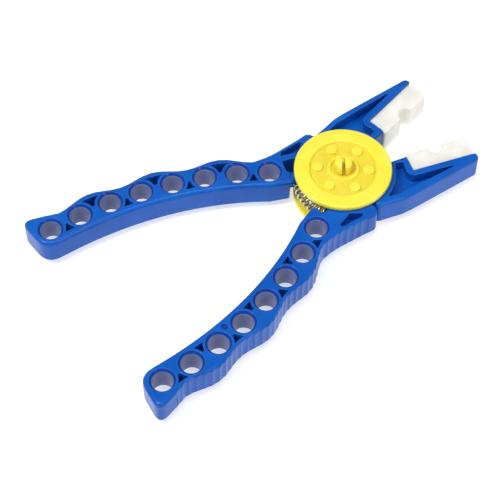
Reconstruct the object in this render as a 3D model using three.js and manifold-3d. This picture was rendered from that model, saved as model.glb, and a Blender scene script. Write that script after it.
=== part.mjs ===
// Snap setter pliers, built open against the stop.
// Two identical moulded levers, one of them flipped over, are lap jointed round a pivot set:
// two identical discs held together by a split rivet. An arc shaped coil spring pushes the
// handles apart. Each jaw carries a soft insert with a groove across its working face.
// Millimetres, +Z up, pivot axis on Z, jaws toward +X, lower disc standing on z = 0.

import * as THREE from 'three';
import { mergeVertices } from 'three/addons/utils/BufferGeometryUtils.js';
import Module from 'manifold-3d';

const wasm = await Module();
wasm.setup();

const DEG = Math.PI / 180;

// ---- clearances -------------------------------------------------------------------------
const RUN_GAP = 0.3;            // between parts that turn on each other
const SEAT_GAP = 0.25;          // between an insert and its seat
const OVERCUT = 4.0;            // how far a cutter reaches past the surface it opens

// ---- stack, up the pivot axis ------------------------------------------------------------
const DISC_R = 18.0;
const DISC_T = 2.1;             // disc thickness at the rim
const LEVER_T = 11.1;           // lever thickness, both lap halves together
const DISC_GAP = 0.35;          // between a disc and the lever face under it
const MID_Z = DISC_T + DISC_GAP + LEVER_T / 2;
const STACK_H = 2 * MID_Z;

// ---- opening -----------------------------------------------------------------------------
const OPEN_HALF_DEG = 14.2;     // each lever turns this far from jaws shut to jaws open

// ---- handle: a row of through holes on a curve that straightens toward the butt ----------
const HOLE_COUNT = 8;
const HOLE_PITCH = 12.0;
const HOLE_D = 7.5;
const RING_D = 9.4;             // countersink round each hole
const RING_DEPTH = 1.1;
const FIRST_HOLE_X = -25.2;
const FIRST_HOLE_Y = -9.1;
const ROW_HEADING_DEG = 196.5;  // direction from the first hole to the second
const ROW_TURN = -0.0933;       // change of direction per pitch, radians
const ROW_EASE = 0.0039;        // how much that change fades per pitch, radians
const INNER_EDGE = 6.6;         // hole row to the smooth inner edge
const GRIP_MEAN = 6.3;          // hole row to the middle of the finger waves
const GRIP_WAVE = 1.15;         // finger wave height either side of that
const GRIP_FACETS = 8;          // flats per finger wave
const EDGE_R = 1.0;             // rounding of the lever's long edges
const BUTT_LEN = 6.5;           // last hole to the end face
const BUTT_DEEP = 9.1;          // hole row to the outer corner of the butt
const BUTT_TOE = 1.1;           // end face leans this far on toward the outer side

// ---- lightening pockets in the handle -----------------------------------------------------
const TUBE_R = 5.55;            // wall left round each hole, outside radius
const POCKET_NEAR = 1.0;        // pocket apex to the hole row
const INNER_WALL = 2.6;
const OUTER_WALL = 1.9;         // outside the outer pockets, on the middle of the waves
const POCKET_FOLLOW = 0.5;      // share of the finger wave that the outer pockets follow
const POCKET_FLOOR = 2.6;       // skin left at the closed side
const EAR_PROUD = 2.5;          // ear tip beyond the jaw root it stops against
const EAR_WEB = 2.7;            // web between the two ear slots
const GATE_AT = 4.5;            // pitches from the first hole
const GATE_D = 2.4;
const GATE_DEPTH = 0.5;
const GATE_NUB_D = 0.9;
const GATE_NUB_DROP = 0.15;     // nub below the lever face

// ---- lap joint ----------------------------------------------------------------------------
const HUB_R = 11.0;
const HUB_CLEAR = 0.4;
const COLLAR_R = 5.4;           // disc collar that the hubs turn on
const HUB_BORE_R = COLLAR_R + RUN_GAP;
const STOP_GAP_DEG = 1.2;       // left between ear and jaw root when fully open
const ROOT_DEG = 71.2;          // jaw root, from the closed jaw line
const ROOT_R = DISC_R + 1.9;    // jaw root stands proud of the discs
const LIP_Y = 0.7;              // lever's own jaw face, back from the closing line

// ---- jaw and insert -----------------------------------------------------------------------
const SEAT_X = DISC_R + 6.5;           // step that the insert butts against
const SEAT_Y = 8.1;             // seat height at the step
const SEAT_RISE = 0.015;        // seat slope toward the nose
const NOSE_X = 50.0;
const NOSE_Y = 11.0;            // outer corner of the nose
const NOSE_EASE = 1.0;          // corner taken off between seat and nose
const INSERT_T = 9.8;
const INSERT_END_X = NOSE_X - 1.0;
const GROOVE_X = SEAT_X + 12.1;
const GROOVE_R = 2.9;
const TONGUE_T = 3.6;
const TONGUE_D = 1.0;
const TONGUE_X0 = SEAT_X + 4.5;
const TONGUE_X1 = INSERT_END_X - 5.0;
const JAW_WEB = 1.8;            // web between the two jaw pockets
const RIB_R = DISC_R + 1.5;     // arc rib round the hub on the hub side of the jaw

// ---- discs --------------------------------------------------------------------------------
const RIM_R = 0.6;              // rounding of the rim
const RIM_IN_R = 12.4;          // inside of the raised rim band
const FLOOR_DEPTH = 1.1;
const BOSS_COUNT = 6;
const BOSS_R = 2.0;
const BOSS_PITCH_R = 9.4;
const BOSS_TURN_DEG = 21.5;
const BOSS_DROP = 0.15;         // boss tops below the rim band
const RING_OUT_R = 6.0;
const RING_IN_R = 4.5;
const PIN_HOLE_R = 2.7;
const COLLAR_GAP = 0.6;         // between the ends of the two collars

// ---- split rivet --------------------------------------------------------------------------
const PIN_R = PIN_HOLE_R - RUN_GAP;
const PIN_HEAD_R = 4.1;
const PIN_HEAD_T = 0.75;
const BARB_R = 3.2;
const BARB_GAP = 0.3;
const BARB_TOP = 4.2;           // above the rim band
const SPLIT_W = 1.2;
const SPLIT_DEPTH = 5.0;
const SPLIT_DEG = 58;

// ---- spring -------------------------------------------------------------------------------
const SPRING_ARC_R = 15.65;     // pivot axis to the coil's own axis
const COIL_R = 2.35;            // wire centre to the coil's axis
const WIRE_R = 0.36;
const WIRE_SIDES = 5;
const TURN_STEPS = 11;
const TURNS = 15;
const SPRING_HALF_DEG = 50;     // half the arc it fills when the pliers are open
const CHANNEL_IN_R = HUB_R + HUB_CLEAR + 1.1;
const STRIP_T = 2.5;            // skin over the channel, each side

// ---- finish -------------------------------------------------------------------------------
const BLUE = 0x1c5fd0;
const YELLOW = 0xffe236;
const MILKY = 0xebe8e1;
const STEEL = 0xb9bcc0;

// ---- solids -------------------------------------------------------------------------------
function toSolid(geometry) {
  const bare = geometry.clone();
  bare.deleteAttribute('normal');
  bare.deleteAttribute('uv');
  const merged = mergeVertices(bare, 1e-4);
  return new wasm.Manifold(new wasm.Mesh({
    numProp: 3,
    vertProperties: new Float32Array(merged.attributes.position.array),
    triVerts: new Uint32Array(merged.index.array),
  }));
}

function toGeometry(solid) {
  const mesh = solid.getMesh();
  const geometry = new THREE.BufferGeometry();
  geometry.setAttribute('position', new THREE.BufferAttribute(mesh.vertProperties, 3));
  geometry.setIndex(new THREE.BufferAttribute(mesh.triVerts, 1));
  const flat = geometry.toNonIndexed();
  flat.computeVertexNormals();
  return flat;
}

// A prism between two heights, its outline edges rounded when round > 0.
function prism(points, z0, z1, round = 0, steps = 2) {
  const shape = new THREE.Shape(points.map(([x, y]) => new THREE.Vector2(x, y)));
  const geometry = new THREE.ExtrudeGeometry(shape, {
    depth: z1 - z0 - 2 * round,
    curveSegments: 1,
    bevelEnabled: round > 0,
    bevelThickness: round,
    bevelSize: round,
    bevelOffset: -round,
    bevelSegments: steps,
  });
  geometry.translate(0, 0, z0 + round);
  return toSolid(geometry);
}

function cylinder(x, y, radius, z0, z1, segments) {
  const geometry = new THREE.CylinderGeometry(radius, radius, z1 - z0, segments);
  geometry.rotateX(Math.PI / 2);
  geometry.translate(x, y, (z0 + z1) / 2);
  return toSolid(geometry);
}

function lathe(profile, segments) {
  const points = [...profile, profile[0]].map(([r, z]) => new THREE.Vector2(r, z));
  const geometry = new THREE.LatheGeometry(points, segments);
  geometry.rotateX(Math.PI / 2);
  return toSolid(geometry);
}

function union(solids) {
  return solids.reduce((sum, solid) => sum.add(solid));
}

// ---- outlines -----------------------------------------------------------------------------
function polar(radius, degrees) {
  return [radius * Math.cos(degrees * DEG), radius * Math.sin(degrees * DEG)];
}

function arc(radius, fromDeg, toDeg, steps) {
  const points = [];
  for (let i = 0; i <= steps; i += 1) {
    points.push(polar(radius, fromDeg + (toDeg - fromDeg) * i / steps));
  }
  return points;
}

// Rounds the corners that carry a third value, their radius.
function rounded(points, steps = 4) {
  const out = [];
  points.forEach((point, i) => {
    const [x, y, radius = 0] = point;
    if (radius === 0) {
      out.push([x, y]);
      return;
    }
    const before = points[(i + points.length - 1) % points.length];
    const after = points[(i + 1) % points.length];
    const a = new THREE.Vector2(before[0] - x, before[1] - y);
    const b = new THREE.Vector2(after[0] - x, after[1] - y);
    const angle = Math.acos(a.clone().normalize().dot(b.clone().normalize()));
    const back = Math.min(radius / Math.tan(angle / 2), a.length() * 0.49, b.length() * 0.49);
    a.setLength(back);
    b.setLength(back);
    for (let k = 0; k <= steps; k += 1) {
      const t = k / steps;
      const wa = (1 - t) * (1 - t);
      const wb = t * t;
      out.push([x + a.x * wa + b.x * wb, y + a.y * wa + b.y * wb]);
    }
  });
  return out;
}

// Point and direction on the hole row, s counted in pitches from the first hole.
function rowHeading(s) {
  const u = s - 0.5;
  return ROW_HEADING_DEG * DEG + ROW_TURN * u + ROW_EASE * u * (u - 1) / 2;
}

function rowPoint(s) {
  const steps = 60;
  let x = FIRST_HOLE_X;
  let y = FIRST_HOLE_Y;
  for (let i = 0; i < steps; i += 1) {
    const heading = rowHeading(s * (i + 0.5) / steps);
    x += HOLE_PITCH * s / steps * Math.cos(heading);
    y += HOLE_PITCH * s / steps * Math.sin(heading);
  }
  return [x, y];
}

// Offset from the row: along toward the butt, across toward the inner edge.
function offRow(s, along, across) {
  const [x, y] = rowPoint(s);
  const h = rowHeading(s);
  return [
    x + along * Math.cos(h) + across * Math.sin(h),
    y + along * Math.sin(h) - across * Math.cos(h),
  ];
}

function gripOffset(s) {
  return GRIP_MEAN + GRIP_WAVE * Math.cos(Math.PI * (s - 1.5));
}

// The lever is drawn with its jaw shut on the x axis, jaw above, handle below.
function handleOutline() {
  const last = HOLE_COUNT - 1;
  const points = [[-19.6, -1.9]];
  for (let s = 0; s <= last; s += 0.5) points.push(offRow(s, 0, INNER_EDGE));
  points.push([...offRow(last, BUTT_LEN - BUTT_TOE / 2, INNER_EDGE - 0.2), 8.5]);
  points.push([...offRow(last, BUTT_LEN + BUTT_TOE / 2, -BUTT_DEEP), 3.2]);
  points.push(offRow(last, 1.8, 1.2 - BUTT_DEEP));
  points.push(offRow(last, -1.5, 2.4 - BUTT_DEEP));
  const facet = 2 / GRIP_FACETS;
  for (let s = last - 0.5; s > 0.3; s -= facet) points.push(offRow(s, 0, -gripOffset(s)));
  points.push([-24.5, -16.2]);
  points.push([-20.4, -17.0]);
  const earDeg = 360 - ROOT_DEG - 2 * OPEN_HALF_DEG - STOP_GAP_DEG;
  points.push(polar(ROOT_R + EAR_PROUD, earDeg - 14.2));
  points.push([...polar(ROOT_R + EAR_PROUD, earDeg - 4.7), 1.9]);
  points.push(polar(ROOT_R, earDeg));
  points.push(polar(HUB_R - 3, earDeg));
  points.push(polar(HUB_R - 3, 235));
  points.push(polar(HUB_R - 3, 215));
  return points;
}

function jawOutline() {
  return [
    polar(HUB_R - 3, 45),
    polar(HUB_R - 3, ROOT_DEG),
    [...polar(ROOT_R, ROOT_DEG), 2.0],
    [11.2, ROOT_R - 1.2],
    [SEAT_X - 7.6, ROOT_R - 1.2],
    [SEAT_X - 3.7, ROOT_R - 1.9],
    [NOSE_X, NOSE_Y, 2.2],
    [NOSE_X, LIP_Y + 4],
    [SEAT_X + 2, LIP_Y],
    [SEAT_X - 6, LIP_Y + 0.5],
    polar(HUB_R - 3, 4),
  ];
}

function seatY(x) {
  return SEAT_Y + SEAT_RISE * (x - SEAT_X);
}

function seatCut() {
  const far = NOSE_X + OVERCUT;
  const top = seatY(NOSE_X);
  return [
    [SEAT_X, -OVERCUT],
    [far, -OVERCUT],
    [far, top + NOSE_EASE],
    [NOSE_X, top + NOSE_EASE],
    [NOSE_X - 0.3 * NOSE_EASE, top + 0.3 * NOSE_EASE],
    [NOSE_X - NOSE_EASE, top],
    [SEAT_X + 0.2, SEAT_Y],
  ];
}

// Three sided pockets between the hole tubes, inner or outer side of the row.
function pocketOutline(gap, inner) {
  const outerFar = (s) => OUTER_WALL - GRIP_MEAN - POCKET_FOLLOW * (gripOffset(s) - GRIP_MEAN);
  const far = (s) => (inner ? INNER_EDGE - INNER_WALL : outerFar(s));
  const near = inner ? POCKET_NEAR : -POCKET_NEAR;
  const points = [offRow(gap, 0, near), offRow(gap + 1, 0, near)];
  for (let k = 4; k >= 0; k -= 1) {
    const s = gap + k / 4;
    points.push(offRow(s, 0, far(s)));
  }
  return inner ? points : points.reverse();
}

const BOTTOM_Z = MID_Z - LEVER_T / 2;
const TOP_Z = MID_Z + LEVER_T / 2;

// Plain side up, hub half below.
function handlePockets() {
  const cuts = [];
  for (let gap = 0; gap < HOLE_COUNT - 1; gap += 1) {
    const innerOnTop = gap % 2 === 1;
    const floorTop = BOTTOM_Z + POCKET_FLOOR;
    const floorBottom = TOP_Z - POCKET_FLOOR;
    cuts.push(prism(pocketOutline(gap, innerOnTop), floorTop, TOP_Z + OVERCUT));
    cuts.push(prism(pocketOutline(gap, !innerOnTop), BOTTOM_Z - OVERCUT, floorBottom));
  }
  const tubes = [];
  for (let i = 0; i < HOLE_COUNT; i += 1) {
    const [x, y] = rowPoint(i);
    tubes.push(cylinder(x, y, TUBE_R, BOTTOM_Z - 2 * OVERCUT, TOP_Z + 2 * OVERCUT, 24));
  }
  return union(cuts).subtract(union(tubes));
}

function holeCutter() {
  return lathe([
    [0, BOTTOM_Z - OVERCUT],
    [RING_D / 2, BOTTOM_Z - OVERCUT],
    [RING_D / 2, BOTTOM_Z],
    [HOLE_D / 2, BOTTOM_Z + RING_DEPTH],
    [HOLE_D / 2, TOP_Z - RING_DEPTH],
    [RING_D / 2, TOP_Z],
    [RING_D / 2, TOP_Z + OVERCUT],
    [0, TOP_Z + OVERCUT],
  ], 20);
}

function handleHoles() {
  const cuts = [];
  for (let i = 0; i < HOLE_COUNT; i += 1) {
    const [x, y] = rowPoint(i);
    cuts.push(holeCutter().translate(x, y, 0));
  }
  return union(cuts);
}

function earSlots() {
  const outline = rounded([
    [-18.9, -15.2, 0.3],
    [-18.1, -16.2, 0.3],
    [-10.6, -18.1, 0.4],
    [-9.2, -17.7, 0.4],
    [-12.6, -13.9, 0.6],
    [-18.6, -14.4, 0.3],
  ], 2);
  return union([
    prism(outline, MID_Z + EAR_WEB / 2, TOP_Z + OVERCUT),
    prism(outline, BOTTOM_Z - OVERCUT, MID_Z - EAR_WEB / 2),
  ]);
}

// The coil runs through a passage opened from alternate sides, so a strip of the lever
// crosses it at its mouth below and at its end above.
function springPassage() {
  const mouth = [
    [-22.0, 1.5],
    [-18.8, -4.3],
    [-19.2, -6.9],
    [-17.1, -7.0],
    ...arc(HUB_R, 202, 170, 6),
  ];
  const end = rounded([
    [-18.0, -6.0, 0.4],
    [-19.3, -7.1, 0.4],
    [-19.4, -12.0, 0.5],
    [-15.1, -11.9],
    ...arc(CHANNEL_IN_R, 218, 198, 5),
  ], 2);
  return union([
    prism(mouth, BOTTOM_Z + STRIP_T, TOP_Z + OVERCUT),
    prism(end, BOTTOM_Z - OVERCUT, TOP_Z - STRIP_T),
  ]);
}

function jawPockets() {
  const behindSeat = [
    [SEAT_X - 1.9, 3.3, 0.3],
    [SEAT_X - 2.4, SEAT_Y + 0.1, 0.5],
    [SEAT_X - 0.6, SEAT_Y + 2.3, 0.8],
    [NOSE_X - 8.6, NOSE_Y - 0.1, 0.3],
    [SEAT_X - 4.2, ROOT_R - 4.6],
    [SEAT_X - 8.8, ROOT_R - 3.7],
  ];
  const hubSide = rounded([
    [SEAT_X - 4.5, 2.8, 0.3],
    ...behindSeat,
    ...arc(RIB_R, 55, 10, 8),
  ], 2);
  const plainSide = rounded([
    [12.0, 2.9],
    ...behindSeat,
    [8.2, ROOT_R - 3.5, 1.0],
    [6.3, HUB_R],
    ...arc(HUB_R, 55, 20, 4),
  ], 2);
  return union([
    prism(hubSide, BOTTOM_Z - OVERCUT, MID_Z - JAW_WEB / 2),
    prism(plainSide, MID_Z + JAW_WEB / 2, TOP_Z + OVERCUT),
  ]);
}

function tonguePrism(grow) {
  const deep = TONGUE_D + grow;
  const half = TONGUE_T / 2 + grow;
  const x0 = TONGUE_X0 - grow;
  const x1 = TONGUE_X1 + grow;
  const outline = [[x0, seatY(x0) - 1], [x1, seatY(x1) - 1], [x1, seatY(x1) + deep],
    [x0, seatY(x0) + deep]];
  return prism(outline, MID_Z - half, MID_Z + half);
}

function gateMark() {
  const [x, y] = offRow(GATE_AT, 0, INNER_EDGE / 2);
  const dimple = cylinder(x, y, GATE_D / 2, TOP_Z - GATE_DEPTH, TOP_Z + OVERCUT, 14);
  return dimple.subtract(cylinder(x, y, GATE_NUB_D / 2, 0, TOP_Z - GATE_NUB_DROP, 8));
}

function leverSolid() {
  const handle = prism(rounded(handleOutline()), BOTTOM_Z, TOP_Z, EDGE_R);
  const jaw = prism(rounded(jawOutline()), BOTTOM_Z, TOP_Z, EDGE_R);
  const lapZ = MID_Z - RUN_GAP / 2;
  const hub = cylinder(0, 0, HUB_R, BOTTOM_Z, lapZ, 48);
  const clear = cylinder(0, 0, HUB_R + HUB_CLEAR, lapZ, TOP_Z + OVERCUT, 48);
  const fill = cylinder(0, 0, HUB_R - 1, BOTTOM_Z - OVERCUT, TOP_Z + OVERCUT, 48);
  const bore = cylinder(0, 0, HUB_BORE_R, 0, STACK_H, 32);
  const arms = handle.add(jaw).subtract(fill);
  return arms
    .subtract(springPassage())
    .add(hub)
    .subtract(clear)
    .subtract(bore)
    .subtract(prism(seatCut(), BOTTOM_Z - OVERCUT, TOP_Z + OVERCUT))
    .subtract(tonguePrism(SEAT_GAP))
    .subtract(handlePockets())
    .subtract(handleHoles())
    .subtract(earSlots())
    .subtract(jawPockets())
    .subtract(gateMark());
}

function insertSolid() {
  const foot = SEAT_GAP;
  const outline = [[SEAT_X + foot, 0]];
  for (const [x, y] of arc(GROOVE_R, 180, 0, 10)) outline.push([GROOVE_X + x, y]);
  outline.push([INSERT_END_X - 0.6, 0]);
  outline.push([INSERT_END_X, 2.4]);
  outline.push([INSERT_END_X, SEAT_Y - 1.3]);
  outline.push([INSERT_END_X - 0.8, seatY(INSERT_END_X) - foot]);
  outline.push([SEAT_X + foot + 0.2, SEAT_Y - foot]);
  const block = prism(outline, MID_Z - INSERT_T / 2, MID_Z + INSERT_T / 2, 0.2, 1);
  return block.add(tonguePrism(0));
}

// Outside face up at z = STACK_H, collar hanging down to the middle.
function discSolid() {
  const face = STACK_H;
  const under = STACK_H - DISC_T;
  const floor = face - FLOOR_DEPTH;
  const collarEnd = MID_Z + COLLAR_GAP / 2;
  const plate = lathe([
    [PIN_HOLE_R, collarEnd],
    [COLLAR_R, collarEnd],
    [COLLAR_R, under],
    [DISC_R - 0.5 * RIM_R, under],
    [DISC_R, under + 0.5 * RIM_R],
    [DISC_R, face - RIM_R],
    [DISC_R - 0.18 * RIM_R, face - 0.45 * RIM_R],
    [DISC_R - RIM_R, face],
    [RIM_IN_R, face],
    [RIM_IN_R - 0.4, floor],
    [RING_OUT_R + 0.2, floor],
    [RING_OUT_R - 0.3, face],
    [RING_IN_R + 0.3, face],
    [RING_IN_R - 0.1, floor],
    [PIN_HOLE_R, floor],
  ], 40);
  const bosses = [];
  for (let i = 0; i < BOSS_COUNT; i += 1) {
    const [x, y] = polar(BOSS_PITCH_R, BOSS_TURN_DEG + 360 * i / BOSS_COUNT);
    bosses.push(cylinder(x, y, BOSS_R, under + 0.4, face - BOSS_DROP, 16));
  }
  return plate.add(union(bosses));
}

// Flat head below, split and barbed above.
function rivetSolid() {
  const floor = STACK_H - FLOOR_DEPTH;
  const top = STACK_H + BARB_TOP;
  const body = lathe([
    [0, 0],
    [PIN_HEAD_R, 0],
    [PIN_HEAD_R, PIN_HEAD_T],
    [PIN_R, PIN_HEAD_T],
    [PIN_R, floor + BARB_GAP],
    [BARB_R, floor + BARB_GAP],
    [BARB_R, top - 1.2],
    [BARB_R - 0.35, top - 0.4],
    [BARB_R - 1.1, top],
    [0, top],
  ], 28);
  const slot = new THREE.BoxGeometry(3 * BARB_R, SPLIT_W, SPLIT_DEPTH + OVERCUT);
  slot.rotateZ(SPLIT_DEG * DEG);
  slot.translate(0, 0, top - SPLIT_DEPTH + (SPLIT_DEPTH + OVERCUT) / 2);
  return body.subtract(toSolid(slot));
}

class ArcHelix extends THREE.Curve {
  getPoint(t, target = new THREE.Vector3()) {
    const turn = Math.PI + (2 * t - 1) * SPRING_HALF_DEG * DEG;
    const wind = 2 * Math.PI * TURNS * t;
    const r = SPRING_ARC_R + COIL_R * Math.cos(wind);
    return target.set(r * Math.cos(turn), r * Math.sin(turn), MID_Z + COIL_R * Math.sin(wind));
  }
}

function springGeometry() {
  const wire = new THREE.Shape();
  for (let i = 0; i < WIRE_SIDES; i += 1) {
    const [x, y] = polar(WIRE_R, 360 * i / WIRE_SIDES);
    if (i === 0) wire.moveTo(x, y);
    else wire.lineTo(x, y);
  }
  return new THREE.ExtrudeGeometry(wire, {
    steps: TURNS * TURN_STEPS,
    curveSegments: 1,
    bevelEnabled: false,
    extrudePath: new ArcHelix(),
  });
}

// ---- placing ------------------------------------------------------------------------------
// Opens a lever drawn shut, as it lies with the plain side up.
function opened(solid) {
  return solid.rotate([0, 0, OPEN_HALF_DEG]);
}

// Turns a solid over about the jaw axis through the middle of the stack.
function flipped(solid) {
  return solid.translate([0, 0, -MID_Z]).rotate([180, 0, 0]).translate([0, 0, MID_Z]);
}

function named(name, geometry, color, roughness, metalness = 0) {
  const material = new THREE.MeshStandardMaterial({ color, roughness, metalness });
  material.name = name + '_finish';
  const mesh = new THREE.Mesh(geometry, material);
  mesh.name = name;
  return mesh;
}

const lever = opened(leverSolid());
const insert = opened(insertSolid());
const disc = discSolid();

const part = new THREE.Group();
part.name = 'snap_setter_pliers';
part.add(named('lever_front', toGeometry(lever), BLUE, 0.35));
part.add(named('lever_back', toGeometry(flipped(lever)), BLUE, 0.35));
part.add(named('insert_front', toGeometry(insert), MILKY, 0.5));
part.add(named('insert_back', toGeometry(flipped(insert)), MILKY, 0.5));
part.add(named('disc_top', toGeometry(disc), YELLOW, 0.3));
part.add(named('disc_bottom', toGeometry(flipped(disc)), YELLOW, 0.3));
part.add(named('split_rivet', toGeometry(rivetSolid()), YELLOW, 0.3));
part.add(named('return_spring', springGeometry(), STEEL, 0.3, 1));

export default part;
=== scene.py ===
import math

import bmesh
import bpy
from mathutils import Matrix, Vector


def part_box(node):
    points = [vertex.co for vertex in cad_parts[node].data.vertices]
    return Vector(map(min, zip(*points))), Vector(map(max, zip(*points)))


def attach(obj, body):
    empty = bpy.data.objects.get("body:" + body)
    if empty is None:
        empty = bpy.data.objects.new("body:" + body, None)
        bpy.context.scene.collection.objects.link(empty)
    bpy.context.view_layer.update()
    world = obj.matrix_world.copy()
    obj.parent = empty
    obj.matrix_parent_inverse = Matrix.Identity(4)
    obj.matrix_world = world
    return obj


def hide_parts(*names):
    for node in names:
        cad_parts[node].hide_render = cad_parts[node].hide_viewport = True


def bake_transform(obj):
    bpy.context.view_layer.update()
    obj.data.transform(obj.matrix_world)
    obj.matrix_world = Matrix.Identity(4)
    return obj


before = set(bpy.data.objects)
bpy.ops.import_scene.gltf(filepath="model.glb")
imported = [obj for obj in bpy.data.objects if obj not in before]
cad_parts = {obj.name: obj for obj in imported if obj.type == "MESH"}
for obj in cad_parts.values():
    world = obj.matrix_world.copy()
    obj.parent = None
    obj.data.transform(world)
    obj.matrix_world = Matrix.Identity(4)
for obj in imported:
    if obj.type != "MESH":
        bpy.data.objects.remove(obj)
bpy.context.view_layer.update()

# Snap setter pliers: two levers of one moulding, a pair of pivot discs on a split rivet,
# two jaw inserts and an arc of coil spring. Pieces are worked in millimetres, shut on the
# x axis, then opened, turned over where needed and brought to metres.

MM = 0.001


def size_of(node, corner, axis):
    """One edge of a solid's box, in millimetres."""
    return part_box(node)[corner][axis] / MM


# ---- sizes, in millimetres ---------------------------------------------------------------
LEVER_LOW = size_of("lever_front", 0, 2)
LEVER_HIGH = size_of("lever_front", 1, 2)
MIDDLE = (LEVER_LOW + LEVER_HIGH) / 2
STACK = size_of("disc_top", 1, 2)
PIN_TOP = size_of("split_rivet", 1, 2)
DISC_RADIUS = size_of("disc_top", 1, 0)

OPEN_DEG = 14.2                # each lever turns this far from jaws shut to jaws open
HOLES = 8
PITCH = 12.0
FIRST_HOLE = (-25.2, -9.1)
ROW_DEG = 196.5                # direction from the first hole to the second
ROW_TURN = -0.0933             # change of direction per pitch, radians
ROW_EASE = 0.0039              # how much that change fades per pitch
HOLE_R = 3.75
RING_R = 4.7                   # countersink round each hole
RING_DEEP = 1.1
TUBE_R = 5.55                  # wall round each hole, outside
INNER_EDGE = 6.6               # hole row to the smooth inner edge
INNER_WALL = 2.6               # pocket to the inner edge
GRIP_MEAN = 6.3                # hole row to the finger waves, on average
GRIP_WAVE = 1.15               # how far the waves swing either way
OUTER_WALL = 1.9               # pocket to the middle of the finger waves
POCKET_FLOOR = 2.6
GATE_R = 1.25                  # ring left by the injection gate
GATE_DEEP = 0.7
EDGE_R = 1.6                   # long outside edges of the handle
JAW_EDGE_R = 1.5               # the same on the jaw
FLUTE_WIDE = 3.0               # upright flutes down the finger side
FLUTE_DEEP = 0.25
SHARP_R = 0.17                 # every other moulded edge
HUB_R = 11.0
HUB_CLEAR = 0.4
HUB_BORE = 5.7
ROOT_DEG = 71.2                # where the jaw's root ends, from the jaw axis
ROOT_R = DISC_RADIUS + 1.9
STOP_DEG = 360 - ROOT_DEG - 2 * OPEN_DEG - 1.2     # face of the ear that meets the other root
EAR_R = ROOT_R + 2.5
EAR_FOOT_DEG = STOP_DEG - 14.2
EAR_TIP_DEG = STOP_DEG - 4.7
EAR_WEB = 2.7                  # left between the slots of the ear
JAW_WEB = 1.8                  # left between the pockets of the jaw
LAP_GAP = 0.3
SPRING_FLOOR = 2.5             # under and over the passage of the spring
SEAT = (24.5, 8.1, 0.015)      # start, height there and slope of the insert's seat
NOSE = (50.0, 11.0)            # outer corner of the nose
INSERT_START = 24.65
INSERT_END = NOSE[0] - 1.0
INSERT_HALF = 4.9              # half its width along the pivot axis
INSERT_SEAM = 0.12
GROOVE = (36.6, 2.9)           # centre and radius of the groove across an insert
DISC_THICK = 2.1
DISC_SUNK = 1.1                # rim and pin ring down to the floor between them
COLLAR_R = 5.4
COLLAR_BORE = 2.7
PIN_HEAD = (4.1, 0.75)         # radius and thickness
PIN_R = 2.4
BARB_R = 3.2
SPRING_TURNS = 15
TURN_STEPS = 30
PAST = 4.0                     # how far a cutter reaches beyond the face it opens


# ---- outlines ----------------------------------------------------------------------------
def polar(radius, degrees):
    turn = math.radians(degrees)
    return (radius * math.cos(turn), radius * math.sin(turn))


def arc(radius, start, stop, steps):
    return [polar(radius, start + (stop - start) * i / steps) for i in range(steps + 1)]


def rounded(points, steps=8):
    """The outline with a curve at every corner that carries a radius as its third number."""
    out = []
    for i, point in enumerate(points):
        if len(point) == 2:
            out.append(tuple(point))
            continue
        corner = Vector(point[:2])
        before = Vector(points[i - 1][:2]) - corner
        after = Vector(points[(i + 1) % len(points)][:2]) - corner
        back = point[2] / math.tan(before.angle(after) / 2)
        back = min(back, before.length * 0.49, after.length * 0.49)
        before, after = before.normalized() * back, after.normalized() * back
        for k in range(steps + 1):
            t = k / steps
            out.append(tuple(corner + before * (1 - t) ** 2 + after * t * t))
    return out


def heading(s):
    """Direction of the hole row, s pitches from the first hole."""
    u = s - 0.5
    return math.radians(ROW_DEG) + ROW_TURN * u + ROW_EASE * u * (u - 1) / 2


def on_row(s, along, across):
    """A point by the row: along toward the butt, across toward the smooth inner edge."""
    x, y = FIRST_HOLE
    steps = 60
    for i in range(steps):
        turn = heading(s * (i + 0.5) / steps)
        x += PITCH * s / steps * math.cos(turn)
        y += PITCH * s / steps * math.sin(turn)
    turn = heading(s)
    return (x + along * math.cos(turn) + across * math.sin(turn),
            y + along * math.sin(turn) - across * math.cos(turn))


def grip(s):
    """From the hole row out to the finger waves."""
    return GRIP_MEAN + GRIP_WAVE * math.cos(math.pi * (s - 1.5))


GATE = on_row(4.5, 0, INNER_EDGE / 2)


def handle_outline():
    last = HOLES - 1
    points = [(-19.6, -1.9)]
    points += [on_row(k * 0.25, 0, INNER_EDGE) for k in range(4 * last - 1)]
    points += [(*on_row(last, 5.95, 6.4), 8.5), (*on_row(last, 7.35, -9.4), 3.2)]
    points += [(*on_row(last, -1.5, -6.7), 2.6)]
    points += [(*on_row(s / 4, 0, -grip(s / 4)), 2.6) for s in range(4 * last - 2, 1, -1)]
    points += [(-24.5, -16.2, 4.0), (-20.4, -17.0, 4.0)]
    points += [polar(EAR_R, EAR_FOOT_DEG), (*polar(EAR_R, EAR_TIP_DEG), 2.5)]
    points += [polar(ROOT_R, STOP_DEG), polar(8, STOP_DEG), polar(8, 235), polar(8, 215)]
    return rounded(points, 6)


def jaw_outline():
    return rounded([polar(8, 45), polar(8, ROOT_DEG), (*polar(ROOT_R, ROOT_DEG), 2.0),
                    (11.2, ROOT_R - 1.2, 9.0), (16.9, ROOT_R - 1.2, 9.0),
                    (20.8, ROOT_R - 1.9, 9.0), (*NOSE, 2.2), (NOSE[0], 4.7),
                    (26.5, 0.7), (18.5, 1.2), polar(8, 4)])


def seat_y(x):
    return SEAT[1] + SEAT[2] * (x - SEAT[0])


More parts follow.
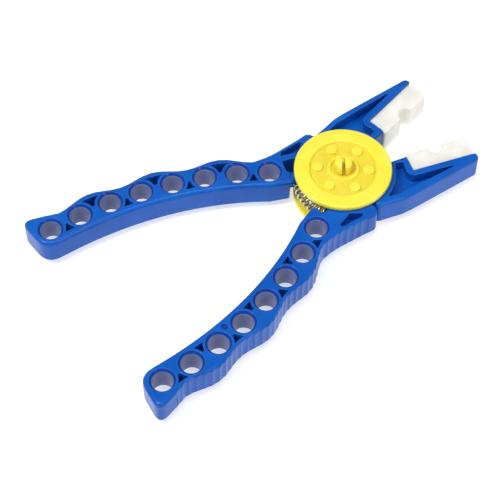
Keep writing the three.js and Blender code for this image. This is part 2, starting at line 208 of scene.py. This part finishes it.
def pocket_outline(gap, side):
    """Three sided pocket between two hole tubes; side is 1 toward the inner edge, -1 outer."""
    def far(s):
        if side > 0:
            return INNER_EDGE - INNER_WALL
        return GRIP_MEAN - OUTER_WALL + 0.5 * (grip(s) - GRIP_MEAN)

    def tube(hole, toward, start, stop):
        out = []
        for k in range(9):
            across = start + (stop - start) * k / 8
            along = toward * math.sqrt(TUBE_R ** 2 - across ** 2)
            out.append(on_row(hole, along, side * across))
        return out

    def leaves(hole, toward):
        s = hole
        for _ in range(6):
            s = hole + toward * math.sqrt(TUBE_R ** 2 - far(s) ** 2) / PITCH
        return s

    first, last = leaves(gap, 1), leaves(gap + 1, -1)
    points = tube(gap + 1, -1, 1.0, far(last))
    for k in range(1, 5):
        s = last + (first - last) * k / 5
        points.append(on_row(s, 0, side * far(s)))
    points += tube(gap, 1, far(first), 1.0)
    return points


# ---- shapes: (points, faces) -------------------------------------------------------------
def area(outline):
    pairs = zip(outline, outline[1:] + outline[:1])
    return sum(a[0] * b[1] - b[0] * a[1] for a, b in pairs) / 2


def inset(outline, distance):
    """A counter-clockwise outline moved inward by distance, corners mitred."""
    out = []
    count = len(outline)
    for i in range(count):
        here = Vector(outline[i])
        one = (here - Vector(outline[i - 1])).normalized()
        two = (Vector(outline[(i + 1) % count]) - here).normalized()
        inward = Vector((-one.y - two.y, one.x + two.x)) / (1 + one.dot(two))
        out.append(tuple(here + inward * distance))
    return out


def prism(outline, low, high, edge=0.0, steps=6):
    """The outline swept from low to high, its long edges rounded."""
    if area(outline) < 0:
        outline = outline[::-1]
    rings = [(0.0, low), (0.0, high)]
    if edge:
        turns = [math.pi / 2 * k / steps for k in range(steps + 1)]
        under = [(edge * (1 - math.sin(t)), low + edge * (1 - math.cos(t))) for t in turns]
        rings = under + [(back, low + high - z) for back, z in reversed(under)]
    points, faces, n = [], [], len(outline)
    for back, z in rings:
        points += [(x, y, z) for x, y in inset(outline, back)]
    for ring in range(len(rings) - 1):
        for i in range(n):
            j = (i + 1) % n
            a = ring * n
            faces.append((a + i, a + j, a + n + j, a + n + i))
    faces.append(tuple(reversed(range(n))))
    faces.append(tuple(range(len(points) - n, len(points))))
    return points, faces


def turned(profile, steps, centre=(0.0, 0.0)):
    """A profile of (radius, height), counter-clockwise, spun round an upright axis."""
    points, faces, count = [], [], len(profile)
    for k in range(steps):
        x, y = polar(1, 360 * k / steps)
        points += [(centre[0] + r * x, centre[1] + r * y, z) for r, z in profile]
    for k in range(steps):
        a, b = k * count, (k + 1) % steps * count
        for i in range(count):
            j = (i + 1) % count
            faces.append((a + i, b + i, b + j, a + j))
    return points, faces


def round_bar(centre, radius, low, high, steps=64):
    outline = [(centre[0] + x, centre[1] + y) for x, y in arc(radius, 0, 360, steps)[:-1]]
    return prism(outline, low, high)


def together(shapes):
    points, faces = [], []
    for some, more in shapes:
        base = len(points)
        points += some
        faces += [tuple(base + i for i in face) for face in more]
    return points, faces


# ---- pieces ------------------------------------------------------------------------------
def piece(name, shape):
    """A mesh object with its doubles merged and its faces outward."""
    mesh = bpy.data.meshes.new(name)
    mesh.from_pydata(shape[0], [], shape[1])
    form = bmesh.new()
    form.from_mesh(mesh)
    bmesh.ops.remove_doubles(form, verts=form.verts, dist=1e-5)
    bmesh.ops.dissolve_degenerate(form, edges=form.edges, dist=1e-6)
    bmesh.ops.recalc_face_normals(form, faces=form.faces)
    form.to_mesh(mesh)
    form.free()
    made = bpy.data.objects.new(name, mesh)
    bpy.context.scene.collection.objects.link(made)
    return made


def settled(made):
    """The object with its modifiers worked into a plain mesh."""
    bpy.context.view_layer.update()
    graph = bpy.context.evaluated_depsgraph_get()
    mesh = bpy.data.meshes.new_from_object(made.evaluated_get(graph))
    made.modifiers.clear()
    made.data = mesh
    return made


def worked(made, *steps):
    """The object after each (operation, shape) in turn."""
    tools = []
    for operation, shape in steps:
        tool = piece("tool", shape)
        cut = made.modifiers.new("work", "BOOLEAN")
        cut.operation = operation
        cut.solver = "EXACT"
        cut.object = tool
        tools.append(tool)
    settled(made)
    for tool in tools:
        bpy.data.objects.remove(tool)
    return made


def without_crumbs(mesh, fewest=20):
    """Welds near points and drops slivers that hang on to nothing."""
    form = bmesh.new()
    form.from_mesh(mesh)
    bmesh.ops.remove_doubles(form, verts=form.verts, dist=0.003)
    bmesh.ops.dissolve_degenerate(form, edges=form.edges, dist=0.0005)
    left, crumbs = set(form.faces), []
    while left:
        island = [left.pop()]
        for face in island:
            touching = {other for edge in face.edges for other in edge.link_faces} & left
            left -= touching
            island += touching
        if len(island) < fewest:
            crumbs += island
    bmesh.ops.delete(form, geom=crumbs, context="FACES")
    form.to_mesh(mesh)
    form.free()


def eased(made, radius, over_deg=35):
    """Rounds what edges are still sharp, and marks the rounded strips with the edge attribute."""
    form = bmesh.new()
    form.from_mesh(made.data)
    bmesh.ops.remove_doubles(form, verts=form.verts, dist=0.012)
    bmesh.ops.dissolve_degenerate(form, edges=form.edges, dist=0.002)
    bmesh.ops.dissolve_limit(form, angle_limit=math.radians(0.6), verts=form.verts,
                             edges=form.edges)
    form.to_mesh(made.data)
    form.free()
    made.data.materials.clear()
    for _ in range(2):
        made.data.materials.append(None)
    bevel = made.modifiers.new("ease", "BEVEL")
    bevel.width = radius
    bevel.segments = 2
    bevel.limit_method = "ANGLE"
    bevel.angle_limit = math.radians(over_deg)
    bevel.use_clamp_overlap = False
    bevel.material = 1
    settled(made)
    mesh = made.data
    without_crumbs(mesh)
    strip = [face.material_index for face in mesh.polygons]
    # the finishes paint these rounded strips paler: partly edge wear, partly a painted highlight
    mark = mesh.attributes.new("edge", "FLOAT", "FACE")
    mark.data.foreach_set("value", [float(v) for v in strip])
    mesh.polygons.foreach_set("material_index", [0] * len(strip))
    mesh.materials.clear()
    mesh.polygons.foreach_set("use_smooth", [True] * len(strip))
    weigh = made.modifiers.new("weigh", "WEIGHTED_NORMAL")
    weigh.keep_sharp = False
    return settled(made)


def sheen_and_shade_marked(made):
    """Marks the holes' walls for a painted pale sheen, and their countersinks and the gate's ring
    for a painted shade, as face attributes.
    """
    mesh = made.data
    centres = [on_row(i, 0, 0) for i in range(HOLES)]

    def within(radius, spots):
        return {corner.index for corner in mesh.vertices for a, b in spots
                if math.hypot(corner.co.x - a, corner.co.y - b) < radius}

    bore_sheen = within(HOLE_R + 0.2, centres)
    sink_shade = within(RING_R + 0.05, centres) | within(GATE_R + 0.05, [GATE])
    for name, lining, clear in (("bore_sheen", bore_sheen, set()), ("sink_shade", sink_shade, bore_sheen)):
        mark = mesh.attributes.new(name, "FLOAT", "FACE")
        mark.data.foreach_set("value", [
            float(lining.issuperset(face.vertices) and not clear.issuperset(face.vertices))
            for face in mesh.polygons])
    return made


def opened(made):
    made.data.transform(Matrix.Rotation(math.radians(OPEN_DEG), 4, "Z"))
    return made


def flipped(made, name):
    """A copy turned over about the jaw axis through the middle of the stack."""
    copy = bpy.data.objects.new(name, made.data.copy())
    bpy.context.scene.collection.objects.link(copy)
    turn = Matrix.Rotation(math.pi, 4, "X")
    up = Matrix.Translation((0, 0, MIDDLE))
    down = Matrix.Translation((0, 0, -MIDDLE))
    copy.data.transform(up @ turn @ down)
    return copy


def fitted(made, body, node, material):
    """Brings a piece to metres, gives it its finish and puts it in its solid's place."""
    made.data.transform(Matrix.Scale(MM, 4))
    made.data.materials.clear()
    made.data.materials.append(material)
    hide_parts(node)
    if body:
        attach(made, body)


# ---- the lever ---------------------------------------------------------------------------
def handle_pockets():
    shapes = []
    for gap in range(HOLES - 1):
        top = 1 if gap % 2 else -1
        shapes.append(prism(pocket_outline(gap, top),
                            LEVER_LOW + POCKET_FLOOR, LEVER_HIGH + PAST))
        shapes.append(prism(pocket_outline(gap, -top),
                            LEVER_LOW - PAST, LEVER_HIGH - POCKET_FLOOR))
    return together(shapes)


def handle_holes():
    low, high = LEVER_LOW, LEVER_HIGH
    profile = [(HOLE_R, low + RING_DEEP), (HOLE_R, high - RING_DEEP), (RING_R, high),
               (RING_R, high + PAST), (0.0, high + PAST), (0.0, low - PAST),
               (RING_R, low - PAST), (RING_R, low)]
    return together([turned(profile[::-1], 56, on_row(i, 0, 0)) for i in range(HOLES)])


def ear_slots():
    outline = rounded([(-18.9, -15.2, 0.4), (-18.1, -16.2, 0.4), (-10.6, -18.1, 0.5),
                       (-9.2, -17.7, 0.5), (-12.6, -13.9, 0.7), (-18.6, -14.4, 0.4)], 4)
    return together([prism(outline, MIDDLE + EAR_WEB / 2, LEVER_HIGH + PAST),
                     prism(outline, LEVER_LOW - PAST, MIDDLE - EAR_WEB / 2)])


def spring_mouth():
    outline = [(-22.0, 1.5), (-18.8, -4.3), (-19.2, -6.9), (-17.1, -7.0)]
    return prism(outline + arc(HUB_R, 202, 170, 12),
                 LEVER_LOW + SPRING_FLOOR, LEVER_HIGH + PAST)


def spring_end():
    outline = rounded([(-18.0, -6.0, 0.5), (-19.3, -7.1, 0.5), (-19.4, -12.0, 0.6),
                       (-15.1, -11.9), *arc(12.5, 218, 198, 10)], 4)
    return prism(outline, LEVER_LOW - PAST, LEVER_HIGH - SPRING_FLOOR)


def jaw_pockets():
    shared = [(22.6, 3.3, 0.4), (22.1, 8.2, 0.6), (23.9, 10.4, 0.9), (41.4, 10.9, 0.4),
              (20.3, ROOT_R - 4.6), (15.7, ROOT_R - 3.7)]
    hub_side = [(20.0, 2.8, 0.4), *shared, *arc(19.5, 55, 10, 16)]
    plain_side = [(12.0, 2.9), *shared, (8.2, ROOT_R - 3.5, 1.2), (6.3, 11.0),
                  *arc(HUB_R, 55, 20, 8)]
    return together([prism(rounded(hub_side, 5), LEVER_LOW - PAST, MIDDLE - JAW_WEB / 2),
                     prism(rounded(plain_side, 5), MIDDLE + JAW_WEB / 2, LEVER_HIGH + PAST)])


def tongue(grow):
    """The key on an insert's back; grow is the clearance of the groove that takes it."""
    x0, x1, half = 29.0 - grow, 44.0 + grow, 1.8 + grow
    outline = [(x0, seat_y(x0) - 1), (x1, seat_y(x1) - 1), (x1, seat_y(x1) + 1 + grow),
               (x0, seat_y(x0) + 1 + grow)]
    return prism(outline, MIDDLE - half, MIDDLE + half)


def seat():
    """All that lies on the jaw axis side of the insert's seat."""
    far, top = NOSE[0] + PAST, seat_y(NOSE[0])
    tip = [(NOSE[0] - 1 + x, top + 1 + y) for x, y in arc(1, 0, -90, 8)]
    outline = [(SEAT[0], -PAST), (far, -PAST), (far, top + 1), *tip,
               (SEAT[0] + 0.2, SEAT[1])]
    return prism(outline, LEVER_LOW - PAST, LEVER_HIGH + PAST)


def grip_flutes():
    """The strip outside the finger side, its inner edge scalloped between upright ridges."""
    side = handle_outline()

    def nearest(spot):
        return min(range(len(side)), key=lambda i: math.dist(side[i], spot))

    butt = HOLES - 1.25
    first = nearest(on_row(butt, 0, -grip(butt)))
    path = side[first:nearest(polar(EAR_R, EAR_FOOT_DEG)) + 1]
    gone = [0.0]
    for one, two in zip(path, path[1:]):
        gone.append(gone[-1] + math.dist(one, two))
    flutes, parts = round(gone[-1] / FLUTE_WIDE), 6
    near, away, k = [], [], 0
    for i in range(flutes * parts + 1):
        walked = gone[-1] * i / (flutes * parts)
        while k < len(path) - 2 and gone[k + 1] < walked:
            k += 1
        one, two = Vector(path[k]), Vector(path[k + 1])
        spot = one.lerp(two, (walked - gone[k]) / (gone[k + 1] - gone[k]))
        line = (two - one).normalized() * math.copysign(1, area(side))
        part = i % parts / parts
        inward = Vector((-line.y, line.x))
        near.append(tuple(spot + inward * (4 * FLUTE_DEEP * part * (1 - part) + 0.02)))
        away.append(tuple(spot - inward * 2.5))
    return prism(near + away[::-1], LEVER_LOW - PAST, LEVER_HIGH + PAST)


def gate_mark():
    """The ring left by the injection gate, with its nub."""
    low, high = LEVER_HIGH - GATE_DEEP, LEVER_HIGH - 0.15
    profile = [(0.0, high), (0.45, high), (0.5, low), (GATE_R - 0.1, low),
               (GATE_R, LEVER_HIGH + 2), (0.0, LEVER_HIGH + 2)]
    return turned(profile, 32, GATE)


def lever(name):
    lap = MIDDLE - LAP_GAP / 2
    made = piece(name, prism(handle_outline(), LEVER_LOW, LEVER_HIGH, EDGE_R))
    made = worked(
        made,
        ("DIFFERENCE", grip_flutes()),
        ("UNION", prism(jaw_outline(), LEVER_LOW, LEVER_HIGH, JAW_EDGE_R)),
        ("DIFFERENCE", round_bar((0, 0), HUB_R - 1, LEVER_LOW - PAST, LEVER_HIGH + PAST, 96)),
        ("DIFFERENCE", spring_mouth()),
        ("DIFFERENCE", spring_end()),
        ("UNION", round_bar((0, 0), HUB_R, LEVER_LOW, lap, 96)),
        ("DIFFERENCE", round_bar((0, 0), HUB_R + HUB_CLEAR, lap, LEVER_HIGH + PAST, 96)),
        ("DIFFERENCE", round_bar((0, 0), HUB_BORE, 0, STACK, 64)),
        ("DIFFERENCE", seat()),
        ("DIFFERENCE", tongue(0.25)),
        ("DIFFERENCE", handle_pockets()),
        ("DIFFERENCE", handle_holes()),
        ("DIFFERENCE", ear_slots()),
        ("DIFFERENCE", jaw_pockets()),
        ("DIFFERENCE", gate_mark()),
    )
    return opened(sheen_and_shade_marked(eased(made, SHARP_R)))


# ---- insert, discs, rivet ----------------------------------------------------------------
def insert(name):
    outline = [(INSERT_START, 0.0, 0.6)]
    outline += [(GROOVE[0] + x, y) for x, y in arc(GROOVE[1], 180, 0, 24)]
    outline += [(INSERT_END - 0.6, 0.0, 0.6), (INSERT_END, 2.4, 1.5), (INSERT_END, 6.8, 0.6),
                (INSERT_END - 0.8, seat_y(INSERT_END) - INSERT_SEAM, 0.6), (24.85, 7.98, 0.6)]
    low, high = MIDDLE - INSERT_HALF, MIDDLE + INSERT_HALF
    made = piece(name, prism(rounded(outline, 4), low, high, 0.22, 3))
    worked(made, ("UNION", tongue(0)))
    return opened(eased(made, 0.06, over_deg=50))


def disc(name):
    """Outside face up: rim band, six bosses, a ring round the pin and a collar below."""
    under, floor, face = STACK - DISC_THICK, STACK - DISC_SUNK, STACK
    profile = rounded([
        (COLLAR_BORE, MIDDLE + 0.3, 0.2), (COLLAR_R, MIDDLE + 0.3, 0.25),
        (COLLAR_R, under, 0.2), (DISC_RADIUS, under, 0.35), (DISC_RADIUS, face, 0.9),
        (12.5, face, 0.7), (12.0, floor, 0.4), (6.2, floor, 0.4), (5.7, face, 0.24),
        (4.8, face, 0.24), (4.4, floor, 0.2), (COLLAR_BORE, floor, 0.15)], 5)
    made = piece(name, turned(profile, 144))
    bosses = ring_of_bosses(under + 0.4, face - 0.15)
    join = made.modifiers.new("bosses", "BOOLEAN")
    join.operation, join.solver, join.object = "UNION", "EXACT", bosses
    settled(made)
    bpy.data.objects.remove(bosses)
    return eased(made, 0.16, over_deg=50)


def rivet(name):
    """A flat head below, a plain shank and a barbed end above that a slot splits."""
    barb, top = STACK - DISC_SUNK + 0.3, PIN_TOP
    head_r, head_top = PIN_HEAD
    profile = rounded([(0.0, 0.0), (head_r, 0.0, 0.2), (head_r, head_top, 0.1),
                       (PIN_R, head_top), (PIN_R, barb), (BARB_R, barb, 0.1),
                       (BARB_R, top - 1.2, 0.8), (2.85, top - 0.4, 0.4), (2.1, top, 0.4),
                       (0.0, top)], 4)
    made = piece(name, turned(profile, 72))
    deep = [(-9.0, -0.6), (9.0, -0.6), (9.0, 0.6), (-9.0, 0.6)]
    points, faces = prism(deep, top - 5, top + PAST)
    turn = Matrix.Rotation(math.radians(58), 3, "Z")
    split = [tuple(turn @ Vector(p)) for p in points], faces
    worked(made, ("DIFFERENCE", split))
    return eased(made, 0.12)


# ---- node sheets -------------------------------------------------------------------------
class Wire:
    """One socket of a node sheet. Sums on it add Math nodes."""

    def __init__(self, sheet, socket):
        self.sheet = sheet
        self.socket = socket

    def _sum(self, operation, *values):
        return self.sheet.node("ShaderNodeMath", {"operation": operation},
                               dict(enumerate(values)))

    def __add__(self, other):
        return self._sum("ADD", self, other)

    def __radd__(self, other):
        return self._sum("ADD", other, self)

    def __sub__(self, other):
        return self._sum("SUBTRACT", self, other)

    def __rsub__(self, other):
        return self._sum("SUBTRACT", other, self)

    def __mul__(self, other):
        return self._sum("MULTIPLY", self, other)

    def __rmul__(self, other):
        return self._sum("MULTIPLY", other, self)

    def cosine(self):
        return self._sum("COSINE", self)

    def sine(self):
        return self._sum("SINE", self)

    def step(self, low, high):
        """0 below low, 1 above high, eased between."""
        return self.sheet.node("ShaderNodeMapRange", {"interpolation_type": "SMOOTHSTEP"},
                               {"Value": self, "From Min": low, "From Max": high})


class Sheet:
    """A node tree, with one short call to add a node and link what feeds it."""

    def __init__(self, tree):
        self.tree = tree

    def node(self, kind, settings=None, sockets=None, out=0):
        made = self.tree.nodes.new(kind)
        for name, value in (settings or {}).items():
            setattr(made, name, value)
        for name, value in (sockets or {}).items():
            socket = made.inputs[name]
            if isinstance(value, Wire):
                self.tree.links.new(value.socket, socket)
            else:
                socket.default_value = value
        return Wire(self, made.outputs[out])


# ---- repeats made by geometry nodes ------------------------------------------------------
def node_piece(name, sizes, draw):
    """A mesh made by a tree of its own. sizes are the tree's named inputs."""
    tree = bpy.data.node_groups.new(name, "GeometryNodeTree")
    for label in sizes:
        tree.interface.new_socket(label, in_out="INPUT", socket_type="NodeSocketFloat")
    tree.interface.new_socket("Finish", in_out="INPUT", socket_type="NodeSocketMaterial")
    tree.interface.new_socket("Mesh", in_out="OUTPUT", socket_type="NodeSocketGeometry")
    sheet = Sheet(tree)
    inputs = tree.nodes.new("NodeGroupInput")
    given = {label: Wire(sheet, inputs.outputs[label]) for label in sizes}
    shape = draw(sheet, given)
    real = sheet.node("GeometryNodeRealizeInstances", {}, {"Geometry": shape})
    painted = sheet.node("GeometryNodeSetMaterial", {},
                         {"Geometry": real, "Material": Wire(sheet, inputs.outputs["Finish"])})
    result = tree.nodes.new("NodeGroupOutput")
    tree.links.new(painted.socket, result.inputs["Mesh"])
    made = bpy.data.objects.new(name, bpy.data.meshes.new(name))
    bpy.context.scene.collection.objects.link(made)
    work = made.modifiers.new(name, "NODES")
    work.node_group = tree
    for item in tree.interface.items_tree:
        if item.in_out == "INPUT" and item.name in sizes:
            work[item.identifier] = float(sizes[item.name])
    return settled(made)


def ring_of_bosses(low, high):
    def draw(sheet, size):
        ring = sheet.node("GeometryNodeMeshCircle", {},
                          {"Vertices": 6, "Radius": size["Ring radius"]})
        place = sheet.node("ShaderNodeCombineXYZ", {}, {"Z": size["Middle height"]})
        turn = sheet.node("ShaderNodeCombineXYZ", {}, {"Z": size["Turn"]})
        ring = sheet.node("GeometryNodeTransform", {},
                          {"Geometry": ring, "Translation": place, "Rotation": turn})
        boss = sheet.node("GeometryNodeMeshCylinder", {},
                          {"Vertices": 40, "Radius": size["Boss radius"],
                           "Depth": size["Boss height"]})
        return sheet.node("GeometryNodeInstanceOnPoints", {},
                          {"Points": ring, "Instance": boss})

    return node_piece("bosses", {
        "Ring radius": 9.4, "Turn": math.radians(21.5), "Boss radius": 2.0,
        "Boss height": high - low, "Middle height": (low + high) / 2}, draw)


def arc_spring(name):
    """Round wire wound on a coil whose own axis bends round the pivot."""
    def draw(sheet, size):
        line = sheet.node("GeometryNodeCurvePrimitiveLine", {}, {"End": (1.0, 0.0, 0.0)})
        line = sheet.node("GeometryNodeResampleCurve", {},
                          {"Curve": line, "Count": SPRING_TURNS * TURN_STEPS + 1})
        along = sheet.node("GeometryNodeSplineParameter")
        wind = along * (2 * math.pi * SPRING_TURNS)
        turn = (2 * along - 1) * size["Half arc"] + math.pi
        radius = size["Arc radius"] + size["Coil radius"] * wind.cosine()
        height = size["Middle height"] + size["Coil radius"] * wind.sine()
        point = sheet.node("ShaderNodeCombineXYZ", {}, {
            "X": radius * turn.cosine(), "Y": radius * turn.sine(), "Z": height})
        coil = sheet.node("GeometryNodeSetPosition", {}, {"Geometry": line, "Position": point})
        wire = sheet.node("GeometryNodeCurvePrimitiveCircle", {},
                          {"Resolution": 12, "Radius": size["Wire radius"]})
        return sheet.node("GeometryNodeCurveToMesh", {},
                          {"Curve": coil, "Profile Curve": wire, "Fill Caps": True})

    made = node_piece(name, {"Arc radius": 15.65, "Coil radius": 2.35, "Wire radius": 0.36,
                             "Half arc": math.radians(50), "Middle height": MIDDLE}, draw)
    made.data.polygons.foreach_set("use_smooth", [True] * len(made.data.polygons))
    return made


# ---- finishes ----------------------------------------------------------------------------
def linear(red, green, blue):
    """A colour given in display values, 0 to 255, as scene light."""
    def channel(value):
        value /= 255
        return value / 12.92 if value <= 0.04045 else ((value + 0.055) / 1.055) ** 2.4

    return (channel(red), channel(green), channel(blue), 1.0)


class Finish(Sheet):
    """A material on one shader, with patterns measured in millimetres."""

    def __init__(self, name, **fixed):
        self.material = bpy.data.materials.new(name)
        self.material.use_nodes = True
        super().__init__(self.material.node_tree)
        self.shader = self.tree.nodes["Principled BSDF"]
        for label, value in fixed.items():
            self.shader.inputs[label.replace("_", " ")].default_value = value
        spot = self.node("ShaderNodeTexCoord", out="Object")
        self.place = self.node("ShaderNodeVectorMath", {"operation": "SCALE"},
                               {0: spot, "Scale": 1 / MM})

    def feed(self, label, wire):
        self.tree.links.new(wire.socket, self.shader.inputs[label])

    def noise(self, size, detail=2.0, stretch=None, turn=(0, 0, 0)):
        """Cloudy values, 0 to 1, with lumps of that size in millimetres."""
        place = self.place
        if stretch:
            place = self.node("ShaderNodeMapping", {},
                              {"Vector": place, "Rotation": turn, "Scale": stretch})
        return self.node("ShaderNodeTexNoise", {},
                         {"Vector": place, "Scale": 1 / size, "Detail": detail,
                          "Roughness": 0.5})

    def blended(self, amount, one, two):
        return self.node("ShaderNodeMix", {"data_type": "RGBA"},
                         {0: amount, 6: one, 7: two}, out=2)

    def mark(self, name):
        return self.node("ShaderNodeAttribute", {"attribute_name": name}, out="Fac")

    def recess_shade(self, height, radius):
        """1 inside that radius of the pivot and within that height of the middle: the mask for
        the painted shade on a disc's sunk floor.
        """
        x, y, z = (self.node("ShaderNodeSeparateXYZ", {}, {0: self.place}, out=i)
                   for i in range(3))
        up = z - MIDDLE
        near = 1 - (up * up).step((height - 0.15) ** 2, (height + 0.15) ** 2)
        return near * (1 - (x * x + y * y).step((radius - 0.2) ** 2, (radius + 0.2) ** 2))

    def scratches(self, size, turn, amount):
        """Thin scuffs that run one way and come and go."""
        lines = self.noise(size, 1.0, (0.05, 1.0, 0.4), (0, 0, turn))
        patch = self.noise(14, 1.0).step(0.5, 0.62)
        return lines.step(0.70, 0.74) * patch * amount

    def bump(self, height, strength, deep):
        return self.node("ShaderNodeBump", {}, {
            "Height": height, "Strength": strength, "Distance": deep * MM})


def lever_finish():
    """Satin blue moulded plastic, a little paler along its rounded edges, partly from handling
    wear and partly as a painted highlight; hole walls carry a painted pale sheen and countersinks
    a painted shade.
    """
    make = Finish("blue moulded plastic", IOR=1.5, Specular_IOR_Level=0.20)
    cloud = make.noise(16, 3.0)
    grain = make.noise(0.35, 3.0)
    flow = make.noise(5, 2.0, (0.25, 1.0, 1.0), (0, 0, 0.35))
    scuff = make.scratches(0.5, 0.6, 1.0) + make.scratches(0.4, -0.9, 0.8)
    # edge: the rounded strips, painted paler below; partly handling wear, partly a painted
    # highlight
    edge = make.mark("edge") * (0.35 + 0.65 * make.noise(3, 2.0).step(0.35, 0.7))
    base = make.blended(cloud.step(0.3, 0.7), linear(3, 80, 172), linear(7, 89, 184))
    base = make.blended(flow.step(0.45, 0.8) * 0.25, base, linear(30, 104, 198))
    base = make.blended(edge * 0.35, base, linear(70, 136, 220))
    base = make.blended(scuff * 0.08, base, linear(120, 160, 222))
    # painted reflection: hole walls painted a pale grey-lavender sheen, standing in for the
    # bright floor mirrored in them
    base = make.blended(make.mark("bore_sheen") * 0.8, base, linear(138, 144, 178))
    # painted shade: countersinks and the gate's ring painted a darker blue, standing in for the
    # shade inside them
    base = make.blended(make.mark("sink_shade") * 0.75, base, linear(2, 52, 146))
    make.feed("Base Color", base)
    make.feed("Roughness", 0.17 + 0.08 * cloud + 0.06 * grain + 0.16 * scuff)
    make.feed("Normal", make.bump(grain + 0.35 * flow - 0.3 * scuff, 0.12, 0.02))
    return make.material


def disc_finish():
    """Glossy yellow moulded plastic."""
    make = Finish("yellow moulded plastic", IOR=1.5, Subsurface_Weight=0.4,
                  Subsurface_Radius=(0.006, 0.0045, 0.0008), Subsurface_Scale=1.0)
    cloud = make.noise(9, 3.0)
    grain = make.noise(0.5, 2.0)
    scuff = make.scratches(0.4, 0.9, 1.0)
    edge = make.mark("edge")
    base = make.blended(cloud.step(0.3, 0.7), linear(253, 227, 60), linear(254, 234, 82))
    # rounded edges painted paler: partly edge wear, partly a painted highlight
    base = make.blended(edge * 0.3, base, linear(254, 238, 120))
    # painted shade: the disc's sunk floor between rim and pin ring painted a darker ochre
    base = make.blended(make.recess_shade(7.4, 12.3) * 0.35, base, linear(232, 196, 40))
    make.feed("Base Color", base)
    make.feed("Roughness", 0.20 + 0.08 * cloud + 0.05 * grain + 0.2 * scuff)
    make.feed("Normal", make.bump(grain - 0.8 * scuff, 0.25, 0.015))
    return make.material


def insert_finish():
    """Milky soft plastic that lets some light through."""
    make = Finish("milky soft plastic", IOR=1.49, Subsurface_Weight=0.55,
                  Subsurface_Radius=(0.007, 0.0065, 0.006), Subsurface_Scale=1.0)
    cloud = make.noise(6, 3.0)
    grain = make.noise(0.4, 3.0)
    edge = make.mark("edge")
    base = make.blended(cloud.step(0.3, 0.75), linear(228, 225, 217), linear(241, 239, 233))
    # rounded edges painted paler: partly edge wear, partly a painted highlight
    base = make.blended(edge * 0.4, base, linear(250, 249, 246))
    make.feed("Base Color", base)
    make.feed("Roughness", 0.36 + 0.12 * cloud + 0.08 * grain)
    make.feed("Normal", make.bump(grain, 0.3, 0.02))
    return make.material


def spring_finish():
    """Bright drawn wire, with the die's fine lines and a few dull patches."""
    make = Finish("drawn spring wire", Metallic=1.0)
    dull = make.noise(2.2, 2.0)
    line = make.noise(0.12, 2.0, (1.0, 1.0, 0.3))
    base = make.blended(dull.step(0.4, 0.75), linear(222, 223, 226), linear(176, 178, 183))
    make.feed("Base Color", base)
    make.feed("Roughness", 0.18 + 0.14 * dull + 0.10 * line)
    make.feed("Normal", make.bump(line, 0.25, 0.01))
    return make.material


def table_finish():
    make = Finish("pale table", Emission_Color=(1.0, 1.0, 1.0, 1.0), Emission_Strength=0.58)
    cloud = make.noise(60, 3.0)
    make.feed("Base Color", make.blended(cloud, linear(203, 203, 204), linear(209, 209, 209)))
    make.feed("Roughness", 0.55 + 0.1 * cloud)
    return make.material


# ---- the pliers --------------------------------------------------------------------------
BLUE = lever_finish()
YELLOW = disc_finish()
MILKY = insert_finish()
STEEL = spring_finish()

front_lever = lever("front_lever")
back_lever = flipped(front_lever, "back_lever")
front_insert = insert("front_insert")
back_insert = flipped(front_insert, "back_insert")
top_disc = disc("top_disc")
bottom_disc = flipped(top_disc, "bottom_disc")
pin = rivet("pivot_pin")
spring = arc_spring("arc_spring")

fitted(front_lever, "front_half", "lever_front", BLUE)
fitted(back_lever, "back_half", "lever_back", BLUE)
fitted(front_insert, "front_half", "insert_front", MILKY)
fitted(back_insert, "back_half", "insert_back", MILKY)
fitted(top_disc, "pivot_set", "disc_top", YELLOW)
fitted(bottom_disc, "pivot_set", "disc_bottom", YELLOW)
fitted(pin, "pivot_set", "split_rivet", YELLOW)
fitted(spring, None, "return_spring", STEEL)
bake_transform(spring)


# ---- table, light and camera -------------------------------------------------------------
def table():
    mesh = bpy.data.meshes.new("table")
    low = -0.05 * MM
    mesh.from_pydata([(-3, -3, low), (3, -3, low), (3, 3, low), (-3, 3, low)], [],
                     [(0, 1, 2, 3)])
    made = bpy.data.objects.new("table", mesh)
    made.data.materials.append(table_finish())
    bpy.context.scene.collection.objects.link(made)


def soft_light(name, spot, toward, side, power):
    data = bpy.data.lights.new(name, "AREA")
    data.shape = "DISK"
    data.size = side
    data.energy = power
    made = bpy.data.objects.new(name, data)
    made.location = spot
    made.rotation_euler = (Vector(toward) - Vector(spot)).to_track_quat("-Z", "Y").to_euler()
    bpy.context.scene.collection.objects.link(made)


def sky(strength):
    world = bpy.data.worlds.new("white room")
    world.use_nodes = True
    back = world.node_tree.nodes["Background"]
    back.inputs["Color"].default_value = (1.0, 1.0, 1.0, 1.0)
    back.inputs["Strength"].default_value = strength
    bpy.context.scene.world = world


def camera(target, azimuth, elevation, distance, lens):
    a, e = math.radians(azimuth), math.radians(elevation)
    back = Vector((math.sin(a) * math.cos(e), -math.cos(a) * math.cos(e), math.sin(e)))
    data = bpy.data.cameras.new("camera")
    data.sensor_width = 36.0
    data.lens = lens
    data.clip_start, data.clip_end = 0.01, 20.0
    made = bpy.data.objects.new("camera", data)
    made.location = Vector(target) + back * distance
    made.rotation_euler = (-back).to_track_quat("-Z", "Y").to_euler()
    bpy.context.scene.collection.objects.link(made)
    bpy.context.scene.camera = made


LIT = (-0.03, 0, 0)            # the spot every light faces, in metres

table()
sky(0.38)
soft_light("key", (-0.50, 0.15, 0.80), LIT, 0.40, 4.6)
soft_light("side", (0.60, -0.40, 0.42), LIT, 0.12, 0.7)
soft_light("front", (0.08, -0.75, 0.50), LIT, 0.14, 1.1)
soft_light("overhead", (-0.10, -0.10, 1.00), LIT, 0.50, 3.0)
camera((-0.04525, -0.00641, 0.0073), -33.85, 55.94, 0.6335, 126.8)
bpy.context.scene.view_settings.view_transform = "Standard"
